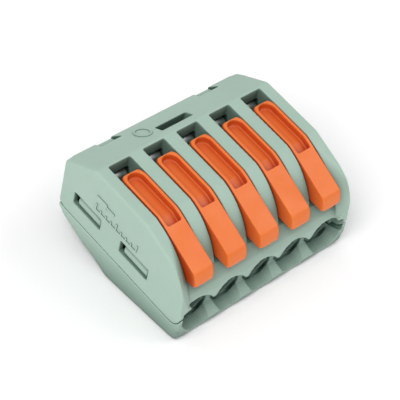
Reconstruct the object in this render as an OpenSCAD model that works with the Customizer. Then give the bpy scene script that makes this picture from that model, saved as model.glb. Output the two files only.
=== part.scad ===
// Lever wire connector with five ways: two-part insulating housing, copper busbar, one
// clamp spring and one hinged lever for each way. Millimetres. Width runs along X,
// the wires enter from the front (-Y), +Z is up and the flat of the base lies on Z = 0.

/* [Ways] */
// Distance between neighbouring ways
way_pitch = 5.5; // [5:0.1:6]
// Width of the lever slot in the top of the housing
slot_width = 3.45; // [3.3:0.05:3.8]
// Width of one lever
lever_width = 3.1; // [3:0.05:3.4]
// Thickness of the partition between two ways
partition = 0.9; // [0.7:0.05:1.2]

/* [Housing] */
// Overall width over the two side walls
body_width = 29.1; // [28.6:0.1:30]
// Distance from the centre plane to the back face
back_y = 11.25; // [10.5:0.05:11.5]
// Height of the back edge of the roof
back_top_z = 11.95; // [11:0.05:13]
// Height of the ridge behind the levers
ridge_z = 14.25; // [14:0.05:15]
// Position of the ridge behind the centre plane
ridge_y = 6.2; // [5.5:0.1:7]
// Slope of the roof, the windows and the parting line, in degrees
lean = 7; // [5:0.5:9]
// Radius of the arch along the inner edges of the two side walls
wall_arch_r = 12.05; // [11:0.05:13]
// Radius of the arched front of the ribs between the levers
rib_arch_r = 9.06; // [8.5:0.02:10]
// Height of the parting line where it reaches the front
parting_front_z = 2.45; // [2:0.05:3]

/* [Wire entry] */
// Radius of the round wire guide
guide_r = 1.5; // [1.3:0.05:1.7]
// Height of the wire guide axis above the base
guide_z = 3.15; // [2.8:0.05:3.4]
// Length of the straight part of the wire guide
guide_length = 2.2; // [1.5:0.1:3]
// Height of the arches in the lip above the wire entries
mouth_top_z = 4.95; // [4.5:0.05:5.4]
// Radius of the dished entries at the front face
entry_r = 2.95; // [2.8:0.05:3.0]

/* [Lever] */
// Distance of the lever pivot behind the centre plane
pivot_y = 3.25; // [3:0.05:3.5]
// Height of the lever pivot
pivot_z = 11.8; // [11.5:0.05:12]
// Radius of the pivot studs on the lever
stud_r = 1.0; // [0.8:0.05:1.1]
// Slope of the straight front part of the lever, in degrees
lever_slope = 27.5; // [20:0.5:29]
// Depth of the long pocket in the top of the lever
pocket_depth = 0.85; // [0.4:0.05:0.9]

/* [Metal parts] */
// Thickness of the busbar
busbar_t = 0.5; // [0.4:0.05:0.8]
// Thickness of the spring strip
spring_t = 0.4; // [0.3:0.05:0.5]
// Width of the spring strip
spring_width = 3.0; // [2.6:0.1:3.2]

/* [Hidden] */
$fn = 72;

// ---- derived sizes ----
ways = 5;
cut = 0.5;                                   // overrun of a cut past the face it opens
joint_gap = 0.06;                            // gap at the parting line
run_gap = 0.05;                              // radial play of the pivot studs
half = body_width / 2;
slot_end_x = 2 * way_pitch + slot_width / 2; // inner face of the side walls at the top
room_half = (way_pitch - partition) / 2;     // half width of the room for one way
room_end_x = 13.0;                           // inner face of the side walls lower down
roof_at_0 = ridge_z - ridge_y * tan(lean);   // height of the roof line at Y = 0
front_y = -11.05;                            // front face of the base
lip_y = -10.5;                               // front face of the lip
lip_foot_z = 3.7;                            // lowest point of the lip
lip_back_y = -9.7;                           // back of the lip
entry_back_y = -9.2;                         // back end of the dished entries
scoop_z = 3.4;                               // height of their axis
slot_back_y = 5.9;                           // back end of the lever slots
ledge_top = [-8.55, 7.2];                    // where the ledge meets the ribs
ledge_low = [-9.75, 5.8];                    // where the ledge meets the lip
wall_arch = [1.2, 1.75];                     // centre of the arch along the inner wall edges
shoulder = 24;                               // slope of the side walls below the roof
brow = [-4.5, 5.5];                          // centre of the round brow of the side walls
brow_r = 6.32;
wall_y = -11.0;                              // front of the side walls above the base
corner_r = 1.55;                             // lower front corner of the side walls
corner = [wall_y + corner_r, parting_front_z + corner_r];
horn_z = 3.65;                               // top of the base in front of that corner
cheek_width = 1.6;                           // width over which the wall fronts fall away
cheek_rise = 1.0;
rib_arch = [0.22, 4.6];                      // centre of the rib arch
base_flat_y = [-10.1, 1.7];                  // ends of the flat the base stands on
rear_low_z = 4.3;                            // lower edge of the back face
floor_t = 1.0;                               // thickness of the base floor
skin_x = 13.7;                               // inner face of the skin over the latches
busbar_z = 4.95;                             // underside of the busbar
leg_top_z = 9.7;                             // top of the spring leg under the lever
clamp_bar_z = 4.45;                          // lower end of the clamping leg, above the wire
corridor_y = 8.8;                            // back ends of the partitions
back_in_y = 9.9;                             // inner face of the back wall
windows = [[-4.75, 0.3], [3.85, 8.75]];      // ends of the two windows in each side wall
window_z = [4.6, 6.4];                       // their lower and upper edge at the front
notch_front_y = 10.3;                        // front of the two notches in the back roof edge
notch_x = [-1.45, 2.15];                     // ends of a notch, from the middle of its latch
nose_z = [10.98, 11.8];                      // underside and top of the rear latch noses

// centre of way number i (1 to 5)
function way_x(i) = (i - 3) * way_pitch;
// height of the parting line, and of any line parallel to it
function lean_z(y, z0) = z0 + (y + 9.4) * tan(lean);
function roof_z(y) = roof_at_0 + y * tan(lean);

// puts a (y, z) outline between two X positions
module span_x(x0, x1) {
  translate([x0, 0, 0]) rotate([90, 0, 90]) linear_extrude(x1 - x0) children();
}
// puts a (x, z) outline between two Y positions
module span_y(y0, y1) {
  translate([0, y1, 0]) rotate([90, 0, 0]) linear_extrude(y1 - y0) children();
}
// quarter or more of a bent strip, angles from +Y towards +Z
module bend(c, r_out, t, a0, a1) {
  far = r_out * 2;
  mid = (a0 + a1) / 2;
  translate(c) intersection() {
    difference() { circle(r_out); circle(r_out - t); }
    polygon([[0, 0], [far * cos(a0), far * sin(a0)], [far * cos(mid), far * sin(mid)],
             [far * cos(a1), far * sin(a1)]]);
  }
}
module box2(y0, y1, z0, z1) { translate([y0, z0]) square([y1 - y0, z1 - z0]); }

// ---- outlines seen from the side ----

// whole housing above the parting line: roof, sloping shoulder, round brow and corner
module shell_side() {
  brow_top = [brow[0] - brow_r * sin(shoulder), brow[1] + brow_r * cos(shoulder)];
  meet_y = (brow_top[1] - brow_top[0] * tan(shoulder) - roof_at_0)
           / (tan(lean) - tan(shoulder));
  polygon([[back_y, lean_z(back_y, parting_front_z) + joint_gap], [back_y, back_top_z],
           [ridge_y, ridge_z], [meet_y, roof_z(meet_y)], brow_top, brow,
           [brow[0] - brow_r, brow[1]], [wall_y, corner[1]], corner,
           [corner[0], parting_front_z + joint_gap]]);
  intersection() {
    translate(brow) circle(brow_r, $fn = 144);
    polygon([brow, brow_top, brow_top + [-9, 0], [brow[0] - 9, brow[1]]]);
  }
  intersection() {
    translate(corner) circle(corner_r - joint_gap);
    box2(wall_y - 1, corner[0], 0, corner[1]);
  }
}

// side view of the base: floor, rear slope and front corner
module base_side() {
  toe_r = 0.95;
  difference() {
    union() {
      polygon([[front_y, toe_r], [front_y + toe_r, 0], [base_flat_y[1], 0],
               [back_y, rear_low_z], [back_y, lean_z(back_y, parting_front_z)],
               [-9.4, parting_front_z], [front_y, parting_front_z]]);
      translate([front_y + toe_r, toe_r]) circle(toe_r);
      box2(front_y, corner[0], toe_r, horn_z);
    }
    translate(corner) circle(corner_r);
  }
}

// opening of one wire entry seen from the front, way centre at X = 0; outer is the side
// (-1 or 1) on which the entry ends at the side wall, or 0
module mouth_front(outer) {
  wide_r = 3.3;
  end_r = 6;
  translate([0, mouth_top_z - wide_r]) intersection() {
    circle(wide_r);
    translate([-2.55, -wide_r]) square([5.1, 2 * wide_r]);
  }
  if (outer != 0)
    translate([0.3 * outer, mouth_top_z - end_r]) intersection() {
      circle(end_r);
      translate([outer < 0 ? 0.3 - entry_r : -0.3, scoop_z - mouth_top_z + end_r - 1])
        square([entry_r, end_r]);
    }
}

// side window from y0 to y1, its edges parallel to the parting line; grow moves all four edges
module window_side(y0, y1, grow) {
  polygon([[y0 - grow, lean_z(y0, window_z[0]) - grow], [y1 + grow, lean_z(y1, window_z[0]) - grow],
           [y1 + grow, lean_z(y1, window_z[1]) + grow], [y0 - grow, lean_z(y0, window_z[1]) + grow]]);
}

// ---- upper housing ----

module upper_housing() color([0.66, 0.76, 0.69]) {
  difference() {
    span_x(-half, half) shell_side();
    // the fronts of the side walls fall away towards the levers
    for (s = [0, 1]) mirror([s, 0, 0]) difference() {
      translate([slot_end_x - 0.01, -14, 5]) cube([cheek_width + 0.01, 11.8, 10]);
      translate([slot_end_x, wall_arch[0], wall_arch[1]]) rotate([0, 90, 0])
        cylinder(r1 = wall_arch_r, r2 = wall_arch_r + cheek_rise, h = cheek_width, $fn = 180);
      translate([slot_end_x - 1, wall_arch[0], wall_arch[1]]) rotate([0, 90, 0])
        cylinder(r = wall_arch_r, h = 1.5, $fn = 180);
    }
    // between the side walls the front follows the ribs and the ledge
    span_x(-slot_end_x, slot_end_x) difference() {
      polygon([[-2.4, 20], [-14, 20], [-14, 1], [lip_y, 1], [lip_y, lip_foot_z + 0.3],
               [lip_y + 0.25, mouth_top_z], ledge_low, ledge_top, [-2.4, ledge_top[1]]]);
      translate(rib_arch) circle(rib_arch_r, $fn = 180);
    }
    for (i = [1 : ways]) translate([way_x(i), 0, 0]) {
      lever_slot();
      way_room();
    }
    // space for the wire guide block and for the entries below the lip
    span_x(-room_end_x - 0.3, room_end_x + 0.3) guide_block_side(0.1);
    for (i = [1 : ways])
      translate([way_x(i), 0, 0]) span_y(front_y - 1, lip_back_y + 0.3)
        mouth_front(i == 1 ? -1 : i == ways ? 1 : 0);
    // nothing hangs below the tips between the arches of the lip, or stands behind the lip
    span_x(-room_end_x - 0.3, room_end_x + 0.3) {
      box2(front_y - 1, -9, 0, lip_foot_z);
      box2(lip_back_y + 0.15, -9, 0, mouth_top_z + 0.05);
    }
    // corridor along the back wall for the rear latch arms
    span_x(-room_end_x, room_end_x) box2(corridor_y, back_in_y, 0, 11);
    for (s = [-1, 1]) {
      translate([s * 1.5 * way_pitch, 0, 0]) {
        span_x(notch_x[0], notch_x[1]) {
          box2(corridor_y, back_in_y, 10, nose_z[1] + 0.1);
          box2(back_in_y - cut, notch_front_y + 0.05, nose_z[0] - 0.08, nose_z[1] + 0.1);
        }
        translate([0, 0, nose_z[0] - 0.08]) linear_extrude(3) notch_plan();
      }
      for (w = windows) mirror([s < 0 ? 1 : 0, 0, 0]) {
        span_x(skin_x - 0.4, half + 1) window_side(w[0], w[1], 0);
        span_x(room_end_x - 0.2, skin_x) box2(w[0] - 0.3, w[1] + 0.3, 0, lean_z(w[1], window_z[1] + 0.2));
      }
    }
    // narrow slot in the roof behind the levers
    span_x(-2.6, 2.6) box2(7.3, 8.6, 11, 16);
  }
}

// top view of a notch in the back roof edge; its right end slants inwards
module notch_plan() {
  slant = 1.05;
  polygon([[notch_x[0], notch_front_y], [notch_x[1], notch_front_y],
           [notch_x[1] - slant, back_y], [notch_x[1] - slant, back_y + cut],
           [notch_x[0], back_y + cut]]);
}

module lever_slot() {
  floor_back_y = -5.3;
  span_x(-slot_width / 2, slot_width / 2)
    polygon([[slot_back_y, 20], [slot_back_y, 9], [floor_back_y, 9], [floor_back_y, 7.75],
             [-6.6, 7.75], ledge_top, [ledge_top[0] - 2, ledge_top[1]], [-12, 20]]);
  // blind seats for the pivot studs, with a narrower snap-in neck below
  span_x(-slot_width / 2 - 0.7, slot_width / 2 + 0.7) {
    translate([pivot_y, pivot_z]) circle(stud_r + run_gap);
    box2(pivot_y - 0.85, pivot_y + 0.85, 9, pivot_z);
  }
}

module way_room() {
  span_x(-room_half, room_half) {
    box2(-5.3, slot_back_y, 0, 9.9);
    polygon([[slot_back_y - 1, 0], [slot_back_y - 1, 9.9], [slot_back_y, 12.5],
             [corridor_y + 0.1, 11.4], [corridor_y + 0.1, 0]]);
  }
  // the partitions end above the busbar
  span_x(-way_pitch / 2 - 0.01, way_pitch / 2 + 0.01)
    box2(-5.6, corridor_y + 0.1, 0, busbar_z + busbar_t + 0.05);
}

// ---- base ----

// side view of the block with the wire guides; grow widens it for its recess
module guide_block_side(grow) {
  polygon([[-8.9 - grow, 0.5], [-9.1 - grow, 3.6], [-9.1 - grow, 4.9 + grow],
           [-8.5 - grow / 2, 5.9 + grow], [-7.4, 6.5 + grow], [-5.6 + grow, 6.5 + grow],
           [-5.6 + grow, 0.5]]);
}

module base_tray() color([0.70, 0.80, 0.73]) {
  difference() {
    union() {
      difference() {
        span_x(-half, half) base_side();
        // hollow of the tray
        span_x(-room_end_x, room_end_x)
          polygon([[-9.3, 20], [-9.3, floor_t], [base_flat_y[1] - 0.25, floor_t],
                   [back_in_y, rear_low_z + 0.55], [back_in_y, 20]]);
        // wire entries: dished funnels with low ridges between them
        span_x(-2 * way_pitch, 2 * way_pitch)
          polygon([[front_y - 1, 1.05], [front_y, 1.05], [entry_back_y, 2.3], [entry_back_y, 9],
                   [front_y - 1, 9]]);
        for (i = [1 : ways]) translate([way_x(i), entry_back_y, scoop_z]) rotate([90, 0, 0])
          cylinder(r1 = entry_r - 0.55, r2 = entry_r + 0.3, h = entry_back_y - front_y + 1);
        for (i = [1, ways]) translate([way_x(i), 0, 0])
          span_y(front_y - 1, entry_back_y) intersection() {
            mouth_front(i == 1 ? -1 : 1);
            translate([-4, scoop_z - 1]) square([8, 4]);
          }
      }
      // block with the wire guides, partitions and latch arms
      span_x(-room_end_x - 0.1, room_end_x + 0.1) guide_block_side(0);
      for (i = [1 : ways - 1])
        translate([way_x(i) + way_pitch / 2, 0, 0]) partition_wall();
      for (s = [0, 1]) mirror([s, 0, 0]) for (w = windows) side_latch(w[0], w[1]);
      for (s = [-1, 1]) translate([s * 1.5 * way_pitch, 0, 0]) rear_latch();
    }
    for (i = [1 : ways]) translate([way_x(i), 0, guide_z]) rotate([-90, 0, 0]) {
      translate([0, 0, -12]) cylinder(r = guide_r, h = 12 - 5.5 + cut);
      translate([0, 0, entry_back_y]) cylinder(r1 = guide_r + 0.72, r2 = guide_r,
                                               h = -entry_back_y - 5.6 - guide_length);
    }
  }
}

// partition between two ways; it carries the busbar and stops behind the lip
module partition_wall() {
  span_x(-partition / 2, partition / 2) difference() {
    polygon([[-9.9, 0.5], [-9.9, 0.9], [-9.46, 1.65], [-9.46, 4.4], [-8.9, 4.9],
             [corridor_y - 0.1, busbar_z + busbar_t], [corridor_y - 0.1, 3.8],
             [base_flat_y[1], 0.5]]);
    box2(-5.7, 2.6, busbar_z - 0.01, 8);
  }
}

// latch arm on the side of the base, with a bevelled barb in the window
module side_latch(y0, y1) {
  arm_top = lean_z(y1, window_z[1] - 0.2);
  span_x(room_end_x - 0.05, skin_x - 0.05) intersection() {
    box2(y0, y1 - 0.5, 1.2, arm_top);
    union() {
      base_side();
      box2(-9, 3, 1.2, 12);
      box2(3, 9, 3.4, 12);
    }
  }
  intersection() {
    span_x(skin_x - 0.3, half) window_side(y0 + 0.1, y1 - 0.4, -0.14);
    rotate([lean, 0, 0]) span_y(-20, 20)
      polygon([[skin_x - 0.3, 2], [skin_x + 0.5, 2], [skin_x + 0.5, 6.5],
               [skin_x + 0.05, 7.3], [skin_x - 0.3, 7.3]]);
  }
}

// latch arm on the back of the base, with a nose in the notch of the roof edge
module rear_latch() {
  w = 1.3;
  front = corridor_y + 0.15;
  back = back_y - 0.1;
  translate([-w, front, 4.1]) cube([2 * w, 0.85, nose_z[1] - 4.1]);
  translate([0, 0, nose_z[0]]) linear_extrude(nose_z[1] - nose_z[0])
    polygon([[-w, front], [w, front], [w, back - 0.45], [w - 0.4, back], [-w, back]]);
}

// ---- metal parts ----

module busbar() color([0.82, 0.80, 0.76]) {
  translate([-12.8, -3.4, busbar_z]) cube([25.6, 5.8, busbar_t]);
  for (i = [1 : ways])
    translate([way_x(i) - 1, -5.3, busbar_z]) cube([2, 2.4, busbar_t]);
}

module clamp_spring_side() {
  t = spring_t;
  foot_z = busbar_z + busbar_t + 0.03;
  crown_r = 1.0;
  crown_z = 11.05;
  back_leg_y = 7.3;
  front_leg_y = back_leg_y - 2 * crown_r;
  box2(-2.8, back_leg_y - 2, foot_z, foot_z + t);
  bend([back_leg_y - 2, foot_z + 2], 2, t, -90, 0);
  box2(back_leg_y - t, back_leg_y, foot_z + 2, crown_z);
  bend([back_leg_y - crown_r, crown_z], crown_r, t, 0, 90);
  bend([back_leg_y - crown_r, crown_z], crown_r, t, 90, 180);
  box2(front_leg_y, front_leg_y + t, 10.3, crown_z);
  bend([front_leg_y + t - 1.1, 10.3], 1.1, t, -90, 0);
  box2(-3.6, front_leg_y + t - 1.1, leg_top_z - 0.5, leg_top_z - 0.5 + t);
  bend([-3.6, leg_top_z - 1.1], 1, t, 90, 180);
  box2(-4.6, -4.6 + t, clamp_bar_z, leg_top_z - 1.1);
}

module clamp_spring(i) color([0.75, 0.75, 0.77]) translate([way_x(i), 0, 0]) {
  difference() {
    span_x(-spring_width / 2, spring_width / 2) clamp_spring_side();
    // window through which the tongue of the busbar passes
    translate([-1.2, -5, clamp_bar_z + 0.45]) cube([2.4, 1, 2.75]);
  }
}

// ---- lever ----

// side view of the lever without its studs
module lever_side() {
  tip_y = -10.5;
  rise = 0.06;
  bend_y = rib_arch[0] - rib_arch_r * sin(lever_slope);
  bend_z = rib_arch[1] + rib_arch_r * cos(lever_slope) + rise;
  tip_top_z = bend_z - (bend_y - tip_y) * tan(lever_slope);
  rear_y = 4.3;
  difference() {
    intersection() {
      union() {
        // rear part under the roof line and the arch
        difference() {
          intersection() {
            polygon([[rear_y, 10.3], [rear_y, 13.3], [rear_y - 0.45, roof_z(rear_y) + rise],
                     [-5, roof_z(-5) + rise], [bend_y, 8], [2, 8]]);
            union() {
              translate(rib_arch) circle(rib_arch_r + rise, $fn = 180);
              box2(-1.6, 6, 8, 16);
            }
          }
          translate(rib_arch) circle(rib_arch_r - 1.9, $fn = 180);
          box2(0.3, 6, 8, 10.3);
        }
        // straight front part that stands proud of the ribs
        polygon([[bend_y, bend_z], [tip_y + 0.6, tip_top_z + 0.6 * tan(lever_slope)],
                 [tip_y + 0.35, tip_top_z - 0.1], [tip_y, 8.3],
                 [tip_y, 7.9], [tip_y + 0.3, 7.6], [-7.6, 7.95], [-5.9, 8.5],
                 [-4.6, 9.8], [bend_y, 11]]);
        translate([pivot_y, pivot_z]) circle(1.5);
      }
      box2(-12, rear_y, 7, 15);
    }
  }
}

// top view of the lever with rounded corners
module lever_plan() {
  w = lever_width / 2;
  tip_r = 0.45;
  end_r = 1.2;
  translate([-w, -10.5 + tip_r]) square([2 * w, 14.8 - tip_r - end_r]);
  translate([-w + tip_r, -10.5]) square([2 * w - 2 * tip_r, 2]);
  translate([-w + end_r, 2]) square([2 * w - 2 * end_r, 2.3]);
  for (s = [-1, 1]) {
    translate([s * (w - tip_r), -10.5 + tip_r]) circle(tip_r);
    translate([s * (w - end_r), 4.3 - end_r]) circle(end_r);
  }
}

// long pocket in the top, its floor parallel to the top face
module lever_pocket() {
  w = 1.12;
  front_y = -4.25;
  rear_y = 3.75;
  nose_r = 0.3;
  intersection() {
    translate([0, 0, 8]) linear_extrude(9) {
      translate([-w, front_y + nose_r]) square([2 * w, rear_y - front_y - w - nose_r]);
      translate([-w + nose_r, front_y]) square([2 * w - 2 * nose_r, 1]);
      translate([0, rear_y - w]) circle(w);
      for (s = [-1, 1]) translate([s * (w - nose_r), front_y + nose_r]) circle(nose_r);
    }
    span_x(-2, 2) difference() {
      box2(-6, 6, 8, 17);
      intersection() {
        polygon([[6, roof_z(6) - pocket_depth], [-7, roof_z(-7) - pocket_depth], [-7, 5], [6, 5]]);
        union() {
          translate(rib_arch) circle(rib_arch_r - pocket_depth, $fn = 180);
          box2(-1.2, 7, 5, 16);
        }
      }
    }
  }
}

module lever(i) color([0.93, 0.42, 0.15]) translate([way_x(i), 0, 0]) {
  difference() {
    union() {
      intersection() {
        span_x(-lever_width / 2, lever_width / 2) lever_side();
        translate([0, 0, 5]) linear_extrude(12) lever_plan();
      }
      span_x(-lever_width / 2 - 0.6, lever_width / 2 + 0.6)
        translate([pivot_y, pivot_z]) circle(stud_r);
    }
    lever_pocket();
  }
}

upper_housing();
base_tray();
busbar();
lever(1);  // lever_1
lever(2);  // lever_2
lever(3);  // lever_3
lever(4);  // lever_4
lever(5);  // lever_5
clamp_spring(1);  // clamp_spring_1
clamp_spring(2);  // clamp_spring_2
clamp_spring(3);  // clamp_spring_3
clamp_spring(4);  // clamp_spring_4
clamp_spring(5);  // clamp_spring_5
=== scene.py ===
"""Looks of the five-way lever wire connector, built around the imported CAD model.

The frame is the CAD frame: X along the row of ways, the wires enter from -Y, Z is up. Lengths are in metres,
except where a comment or docstring says millimetres.
"""

import math

import bpy
import numpy as np
from mathutils import Matrix, Vector


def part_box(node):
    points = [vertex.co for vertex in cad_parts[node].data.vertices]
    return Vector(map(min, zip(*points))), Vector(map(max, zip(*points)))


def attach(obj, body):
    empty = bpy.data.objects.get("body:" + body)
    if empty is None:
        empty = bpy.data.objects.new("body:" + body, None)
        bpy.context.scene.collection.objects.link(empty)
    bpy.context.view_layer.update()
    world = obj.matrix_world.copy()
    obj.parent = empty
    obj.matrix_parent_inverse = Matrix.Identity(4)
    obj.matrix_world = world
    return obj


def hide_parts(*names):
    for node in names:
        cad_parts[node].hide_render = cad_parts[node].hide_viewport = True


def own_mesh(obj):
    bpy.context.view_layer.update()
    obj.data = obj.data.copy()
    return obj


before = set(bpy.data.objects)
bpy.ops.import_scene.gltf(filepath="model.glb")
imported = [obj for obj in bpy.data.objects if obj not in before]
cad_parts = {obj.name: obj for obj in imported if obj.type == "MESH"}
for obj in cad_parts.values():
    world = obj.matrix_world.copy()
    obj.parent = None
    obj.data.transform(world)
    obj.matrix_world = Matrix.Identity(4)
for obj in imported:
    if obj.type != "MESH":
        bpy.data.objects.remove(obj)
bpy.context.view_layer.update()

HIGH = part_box("upper_housing")[1]  # the right, rear, top corner of the housing
MM = 0.001
WAYS = 5
HOUSING = "housing"

# mesh work
WELD_GAP = 0.001 * MM
SMOOTH_STEP = 0.5
BROAD_PASSES = 130
WEIGHT_LEVELS = 20
NORMAL_WEIGHT = 80
FLAT_ANGLE = math.radians(1)
SHARP_ANGLE = math.radians(40)
BROKEN_EDGE = 0.05 * MM

# heights and depths between which a broad rounding sets in or fades out
BROW_Z = (9.5 * MM, 11 * MM)
BASE_FOOT_Z = (1.2 * MM, 2 * MM)
LEVER_REAR_Y = (2.6 * MM, 3.8 * MM)
LEVER_REAR_Z = (12.6 * MM, 13.1 * MM)
LEVER_TIP_Y = (-10.2 * MM, -9.4 * MM)
BROW_SHARE = 0.5
LEVER_REAR_SHARE = 0.6
LEVER_TIP_SHARE = 0.3

# relief on the housing, in millimetres
RELIEF_HEIGHTS = (-0.1, 0.09)  # its foot, inside the wall, and its top
GAUGE_ORIGIN = Vector((-14.55, 0, 8.25))
GAUGE_LEAN = math.radians(7)
GAUGE_WIRE = (-5.4, -3.6, 1.55, 2.35)
GAUGE_CORE = (-3.6, -2.2, 1.82, 2.08)
GAUGE_LINE = (-5.2, 2.4, 0, 0.2)
TICKS = 9
TICK_PITCH = 0.925
TICK_WIDTH = 0.2
TICK_TOP = 0.65
LONG_TICK_TOP = 1.1
LONG_TICK_EVERY = 4
RING_ORIGIN = Vector((-4.4, 8.8, 13.066))
RING_RADII = (1.05, 1.35)
RING_INNER_SHARE = 0.8
RING_STEPS = 24
ROOF_REAR_FALL = Vector((0, 5.05, -2.3))


# ---------------------------------------------------------------- camera


def direction(azimuth, elevation):
    """The unit vector from the part towards that side, in degrees; azimuth 0 is the side the wires enter."""
    azimuth, elevation = math.radians(azimuth), math.radians(elevation)
    return Vector((math.sin(azimuth) * math.cos(elevation), -math.cos(azimuth) * math.cos(elevation),
                   math.sin(elevation)))


def add_camera():
    """The camera stands to the left of, in front of and above the part, and is rolled a little."""
    azimuth = -53.3
    elevation = 44.1
    roll = math.radians(13.9)
    distance = 226.2 * MM
    aim = Vector((2.42, 3.05, 2.44)) * MM
    back = direction(azimuth, elevation)
    right = Vector((math.cos(math.radians(azimuth)), math.sin(math.radians(azimuth)), 0))
    up = back.cross(right)
    rolled_right = right * math.cos(roll) + up * math.sin(roll)
    rolled_up = up * math.cos(roll) - right * math.sin(roll)
    data = bpy.data.cameras.new("camera")
    data.lens = 162
    data.sensor_width = 36
    data.clip_start = 0.01
    data.clip_end = 20
    camera = bpy.data.objects.new("camera", data)
    axes = Matrix((rolled_right, rolled_up, back)).transposed()
    camera.matrix_world = Matrix.Translation(aim + back * distance) @ axes.to_4x4()
    bpy.context.scene.collection.objects.link(camera)
    bpy.context.scene.camera = camera


# ---------------------------------------------------------------- node helpers


class Nodes:
    """A material's node tree with short calls for the nodes used here."""

    def __init__(self, name):
        self.material = bpy.data.materials.new(name)
        self.material.use_nodes = True
        self.tree = self.material.node_tree
        self.shader = self.tree.nodes["Principled BSDF"]
        self.place = self.tree.nodes.new("ShaderNodeTexCoord").outputs["Object"]

    def link(self, source, target):
        self.tree.links.new(source, target)

    def noise(self, per_metre, detail, roughness=0.55, stretch=(1, 1, 1)):
        """Noise with that many features to the metre, from 0 to 1."""
        mapping = self.tree.nodes.new("ShaderNodeMapping")
        mapping.inputs["Scale"].default_value = stretch
        self.link(self.place, mapping.inputs["Vector"])
        node = self.tree.nodes.new("ShaderNodeTexNoise")
        node.inputs["Scale"].default_value = per_metre
        node.inputs["Detail"].default_value = detail
        node.inputs["Roughness"].default_value = roughness
        self.link(mapping.outputs["Vector"], node.inputs["Vector"])
        return node.outputs["Fac"]

    def spread(self, value, low, high, to_low, to_high):
        """value from low..high, taken to to_low..to_high."""
        node = self.tree.nodes.new("ShaderNodeMapRange")
        node.inputs["From Min"].default_value = low
        node.inputs["From Max"].default_value = high
        node.inputs["To Min"].default_value = to_low
        node.inputs["To Max"].default_value = to_high
        self.link(value, node.inputs["Value"])
        return node.outputs["Result"]

    def mix(self, share, one, other):
        """The colour one where share, a number or a node's output, is 0, and other where it is 1."""
        node = self.tree.nodes.new("ShaderNodeMix")
        node.data_type = "RGBA"
        if isinstance(share, float):
            node.inputs["Factor"].default_value = share
        else:
            self.link(share, node.inputs["Factor"])
        for socket, colour in ((node.inputs[6], one), (node.inputs[7], other)):
            if isinstance(colour, tuple):
                socket.default_value = (*colour, 1)
            else:
                self.link(colour, socket)
        return node.outputs[2]

    def painted_hollow_shade(self, distance, depth):
        """Painted shade: 0 on open faces, up to 1 in corners, pockets and openings that are about that distance
        wide, as ambient occlusion finds them.
        """
        node = self.tree.nodes.new("ShaderNodeAmbientOcclusion")
        node.samples = 6
        node.inputs["Distance"].default_value = distance
        return self.spread(node.outputs["AO"], 1 - depth, 1, 1, 0)

    def bump(self, height, distance, strength, under=None):
        """A normal that follows height, on top of the normal under."""
        node = self.tree.nodes.new("ShaderNodeBump")
        node.inputs["Distance"].default_value = distance
        node.inputs["Strength"].default_value = strength
        self.link(height, node.inputs["Height"])
        if under is not None:
            self.link(under, node.inputs["Normal"])
        return node.outputs["Normal"]


# ---------------------------------------------------------------- materials


def moulded_plastic(name, colour, pale, deep, shade, reach, depth, roughness, grain, scatter):
    """Moulded plastic: clouded colour, fine grain, uneven gloss, a little light inside it and painted shade in
    recesses.

    The colour drifts between pale and deep. shade is the painted shade colour that corners, pockets and
    openings take, reach the width of such a recess, and depth how closed it is when the colour is all shade.
    grain is the height of the grain.
    """
    nodes = Nodes(name)
    clouds = nodes.spread(nodes.noise(per_metre=130, detail=4), 0.32, 0.68, 0, 1)
    speckle = nodes.spread(nodes.noise(per_metre=2600, detail=2), 0.35, 0.65, 0, 0.12)
    clouded = nodes.mix(0.5, colour, nodes.mix(clouds, deep, pale))
    dotted = nodes.mix(speckle, clouded, deep)
    # painted shade: the speckled colour turns to the shade colour in recesses that ambient occlusion finds
    nodes.link(nodes.mix(nodes.painted_hollow_shade(reach, depth), dotted, shade), nodes.shader.inputs["Base Color"])
    gloss = nodes.spread(nodes.noise(per_metre=420, detail=3), 0.3, 0.7,
                         roughness - 0.06, roughness + 0.08)
    nodes.link(gloss, nodes.shader.inputs["Roughness"])
    waves = nodes.bump(nodes.noise(per_metre=260, detail=2), distance=0.02 * MM, strength=0.5)
    fine = nodes.noise(per_metre=3800, detail=3, roughness=0.6)
    nodes.link(nodes.bump(fine, distance=grain, strength=0.6, under=waves), nodes.shader.inputs["Normal"])
    nodes.shader.inputs["Subsurface Weight"].default_value = scatter
    nodes.shader.inputs["Subsurface Radius"].default_value = (1, 1, 1)
    nodes.shader.inputs["Subsurface Scale"].default_value = 0.5 * MM
    nodes.shader.inputs["IOR"].default_value = 1.5
    return nodes.material


def bright_strip(name, colour, roughness, along):
    """Rolled metal strip with fine lines along the axes named in along, and dull patches."""
    nodes = Nodes(name)
    stretch = tuple(0.08 if axis in along else 1.0 for axis in "XYZ")
    drawn = nodes.noise(per_metre=5200, detail=2, roughness=0.6, stretch=stretch)
    lines = nodes.spread(drawn, 0.3, 0.7, 0, 1)
    patches = nodes.spread(nodes.noise(per_metre=500, detail=3), 0.35, 0.7, 0, 1)
    darker = tuple(channel * 0.72 for channel in colour)
    nodes.link(nodes.mix(patches, colour, darker), nodes.shader.inputs["Base Color"])
    gloss = nodes.spread(lines, 0, 1, roughness - 0.07, roughness + 0.1)
    nodes.link(gloss, nodes.shader.inputs["Roughness"])
    nodes.link(nodes.bump(lines, distance=0.0015 * MM, strength=0.3), nodes.shader.inputs["Normal"])
    nodes.shader.inputs["Metallic"].default_value = 1
    return nodes.material


def floor_material():
    nodes = Nodes("floor_paint")
    paint = nodes.mix(nodes.noise(per_metre=9, detail=3), (0.955, 0.955, 0.955), (0.975, 0.975, 0.975))
    nodes.link(paint, nodes.shader.inputs["Base Color"])
    nodes.shader.inputs["Roughness"].default_value = 0.9
    nodes.shader.inputs["Specular IOR Level"].default_value = 0.1
    return nodes.material


# ---------------------------------------------------------------- moulded parts


def smoothstep(value, low, high):
    """0 up to low, 1 from high on, and a soft step between."""
    share = np.clip((value - low) / (high - low), 0, 1)
    return share * share * (3 - 2 * share)


def near(value, edge, far, close):
    """1 within close millimetres of edge and 0 from far millimetres inside it."""
    return smoothstep(value, edge - far * MM, edge - close * MM)


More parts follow.
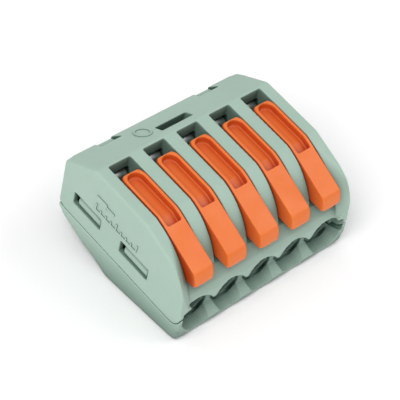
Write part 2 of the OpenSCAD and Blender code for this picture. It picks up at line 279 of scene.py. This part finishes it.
def roof_edges(x, y, z):
    """1 along the housing's upright rear edges and BROW_SHARE along its upper side edges."""
    side = near(np.abs(x), HIGH.x, far=1.5, close=0.7)
    back = near(y, HIGH.y, far=1.2, close=0.5)
    return np.maximum(BROW_SHARE * side * smoothstep(z, *BROW_Z), side * back)


def base_edges(x, y, z):
    """1 along the lower side edges of the base and its upright edges at the back."""
    side = near(np.abs(x), HIGH.x, far=1.3, close=0.6)
    back = near(y, HIGH.y, far=1.2, close=0.5)
    return np.maximum(side * (1 - smoothstep(z, *BASE_FOOT_Z)), side * back)


def lever_edges(_x, y, z):
    """LEVER_REAR_SHARE over the top of a lever's rear end and LEVER_TIP_SHARE at its tip."""
    rear = smoothstep(y, *LEVER_REAR_Y) * smoothstep(z, *LEVER_REAR_Z)
    tip = 1 - smoothstep(y, *LEVER_TIP_Y)
    return np.maximum(LEVER_REAR_SHARE * rear, LEVER_TIP_SHARE * tip)


def apply_modifiers(piece):
    bpy.context.view_layer.update()
    depsgraph = bpy.context.evaluated_depsgraph_get()
    done = bpy.data.meshes.new_from_object(piece.evaluated_get(depsgraph))
    piece.modifiers.clear()
    piece.data = done


def add_smoothing(piece, name, passes):
    smooth = piece.modifiers.new(name, "SMOOTH")
    smooth.factor = SMOOTH_STEP
    smooth.iterations = passes
    return smooth


def weigh_points(piece, weight):
    """The vertex group "broad", from a function of the points, in steps of 1 / WEIGHT_LEVELS."""
    places = np.zeros(len(piece.data.vertices) * 3, np.float32)
    piece.data.vertices.foreach_get("co", places)
    levels = np.round(weight(*places.reshape(-1, 3).T) * WEIGHT_LEVELS)
    group = piece.vertex_groups.new(name="broad")
    for level in range(1, WEIGHT_LEVELS + 1):
        group.add(np.flatnonzero(levels == level).tolist(), level / WEIGHT_LEVELS, "REPLACE")


def moulded(node, name, body, material, voxel, rounding, keep, broad):
    """A soft-edged copy of a CAD node, as a mould gives it, that stands for that node.

    voxel is the mesh size of the copy, rounding the passes of smoothing and keep the share of faces kept.
    broad is a function of the points that says, from 0 to 1, how much more broadly the edges there are rounded.
    """
    piece = bpy.data.objects.new(name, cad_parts[node].data.copy())
    bpy.context.scene.collection.objects.link(piece)
    piece.data.materials.clear()
    weld = piece.modifiers.new("weld", "WELD")
    weld.merge_threshold = WELD_GAP
    remesh = piece.modifiers.new("remesh", "REMESH")
    remesh.mode = "VOXEL"
    remesh.voxel_size = voxel
    apply_modifiers(piece)
    weigh_points(piece, broad)
    add_smoothing(piece, "broad_rounding", BROAD_PASSES).vertex_group = "broad"
    add_smoothing(piece, "rounding", rounding)
    fewer = piece.modifiers.new("fewer", "DECIMATE")
    fewer.ratio = keep
    apply_modifiers(piece)
    piece.vertex_groups.clear()
    piece.data.materials.append(material)
    piece.data.shade_smooth()
    normals = piece.modifiers.new("normals", "WEIGHTED_NORMAL")
    normals.weight = NORMAL_WEIGHT
    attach(piece, body)
    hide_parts(node)


# ---------------------------------------------------------------- metal parts


def strip_metal(node, material):
    """A CAD node kept as it is, with its sheared edges broken."""
    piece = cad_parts[node]
    piece.data.materials.clear()
    piece.data.materials.append(material)
    weld = piece.modifiers.new("weld", "WELD")
    weld.merge_threshold = WELD_GAP
    flat = piece.modifiers.new("flat", "DECIMATE")
    flat.decimate_type = "DISSOLVE"
    flat.angle_limit = FLAT_ANGLE
    edges = piece.modifiers.new("edges", "BEVEL")
    edges.width = BROKEN_EDGE
    edges.segments = 2
    edges.limit_method = "ANGLE"
    edges.angle_limit = SHARP_ANGLE
    edges.harden_normals = True
    for polygon in piece.data.polygons:
        polygon.use_smooth = True


# ---------------------------------------------------------------- relief on the housing


def bar(along0, along1, up0, up1):
    return [(along0, up0), (along1, up0), (along1, up1), (along0, up1)]


def raised_marks(name, origin, along, up, outlines, material):
    """Low relief on a flat of the housing; outlines are convex, in millimetres along and up from origin."""
    out = along.cross(up)
    points, faces = [], []
    for outline in outlines:
        first, count = len(points), len(outline)
        for height in RELIEF_HEIGHTS:
            points += [(origin + along * a + up * b + out * height) * MM for a, b in outline]
        faces.append(range(first + count, first + 2 * count))
        faces += [(first + i, first + (i + 1) % count, first + count + (i + 1) % count, first + count + i)
                  for i in range(count)]
    mesh = bpy.data.meshes.new(name)
    mesh.from_pydata(points, [], [tuple(face) for face in faces])
    mesh.materials.append(material)
    piece = bpy.data.objects.new(name, mesh)
    bpy.context.scene.collection.objects.link(piece)
    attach(piece, HOUSING)


def gauge_outlines():
    """A stripped wire over a line of ticks."""
    outlines = [bar(*GAUGE_WIRE), bar(*GAUGE_CORE), bar(*GAUGE_LINE)]
    line_start, line_top = GAUGE_LINE[0], GAUGE_LINE[3]
    for tick in range(TICKS):
        place = line_start + TICK_PITCH * tick
        top = LONG_TICK_TOP if tick % LONG_TICK_EVERY == 0 else TICK_TOP
        outlines.append(bar(place, place + TICK_WIDTH, line_top, top))
    return outlines


def ring_outlines():
    outlines = []
    for step in range(RING_STEPS):
        start, end = (2 * math.pi * turn / RING_STEPS for turn in (step, step + 1))
        corners = ((RING_INNER_SHARE, start), (1, start), (1, end), (RING_INNER_SHARE, end))
        outlines.append([(share * RING_RADII[0] * math.cos(turn), share * RING_RADII[1] * math.sin(turn))
                         for share, turn in corners])
    return outlines


def add_marks(material):
    """A wire-stripping gauge on the left wall and a plain ring on the roof, behind the levers."""
    forwards = Vector((0, -math.cos(GAUGE_LEAN), -math.sin(GAUGE_LEAN)))
    upwards = Vector((0, -math.sin(GAUGE_LEAN), math.cos(GAUGE_LEAN)))
    raised_marks("strip_gauge", GAUGE_ORIGIN, forwards, upwards, gauge_outlines(), material)
    raised_marks("roof_ring", RING_ORIGIN, Vector((1, 0, 0)), ROOF_REAR_FALL.normalized(), ring_outlines(),
                 material)


# ---------------------------------------------------------------- studio


def add_area_light(name, azimuth, elevation, distance, size, power):
    """A square soft white light that looks at the part from that direction."""
    back = direction(azimuth, elevation)
    data = bpy.data.lights.new(name, "AREA")
    data.shape = "SQUARE"
    data.size = size
    data.energy = power
    light = bpy.data.objects.new(name, data)
    light.location = Vector((0, 0, 7 * MM)) + back * distance
    light.rotation_mode = "QUATERNION"
    light.rotation_quaternion = (-back).to_track_quat("-Z", "Y")
    bpy.context.scene.collection.objects.link(light)


def add_studio():
    """A pale floor just under the part, an even white world, a key light on the left and a fill opposite."""
    bpy.ops.mesh.primitive_plane_add(size=6)
    floor = bpy.context.object
    floor.name = "floor"
    floor.location.z = -0.02 * MM
    floor.data.materials.append(floor_material())
    world = bpy.data.worlds.new("studio")
    bpy.context.scene.world = world
    world.use_nodes = True
    background = world.node_tree.nodes["Background"]
    background.inputs["Color"].default_value = (1, 1, 1, 1)
    background.inputs["Strength"].default_value = 0.55
    add_area_light("key", azimuth=-80, elevation=52, distance=0.6, size=0.35, power=2.2)
    add_area_light("fill", azimuth=60, elevation=49, distance=0.7, size=0.4, power=0.9)


# ---------------------------------------------------------------- the part


add_camera()
add_studio()

# shade, reach and depth give each plastic its painted shade in corners, pockets and openings
housing_green = moulded_plastic(
    "housing_green", colour=(0.36, 0.49, 0.415), pale=(0.375, 0.505, 0.43), deep=(0.33, 0.46, 0.385),
    shade=(0.09, 0.155, 0.12), reach=4 * MM, depth=0.7, roughness=0.5, grain=0.012 * MM, scatter=0.12)
base_green = moulded_plastic(
    "base_green", colour=(0.39, 0.53, 0.45), pale=(0.405, 0.545, 0.465), deep=(0.36, 0.50, 0.42),
    shade=(0.06, 0.12, 0.09), reach=6 * MM, depth=0.6, roughness=0.48, grain=0.012 * MM, scatter=0.12)
lever_orange = moulded_plastic(
    "lever_orange", colour=(0.80, 0.17, 0.02), pale=(0.83, 0.20, 0.035), deep=(0.73, 0.14, 0.014),
    shade=(0.50, 0.05, 0.004), reach=2.4 * MM, depth=0.6, roughness=0.4, grain=0.006 * MM, scatter=0.1)
tinned_copper = bright_strip("tinned_copper", colour=(0.72, 0.68, 0.62), roughness=0.3, along="X")
spring_steel = bright_strip("spring_steel", colour=(0.66, 0.68, 0.68), roughness=0.42, along="YZ")

moulded("upper_housing", "upper_housing_shell", HOUSING, housing_green,
        voxel=0.09 * MM, rounding=5, keep=0.3, broad=roof_edges)
moulded("base_tray", "base_tray_shell", HOUSING, base_green,
        voxel=0.09 * MM, rounding=4, keep=0.3, broad=base_edges)
for way in range(1, WAYS + 1):
    moulded(f"lever_{way}", f"lever_{way}_moulded", f"lever_{way}_body", lever_orange,
            voxel=0.07 * MM, rounding=10, keep=0.35, broad=lever_edges)
    strip_metal(f"clamp_spring_{way}", spring_steel)
    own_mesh(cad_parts[f"clamp_spring_{way}"])
strip_metal("busbar", tinned_copper)
add_marks(housing_green)

bpy.context.scene.view_settings.view_transform = "Standard"
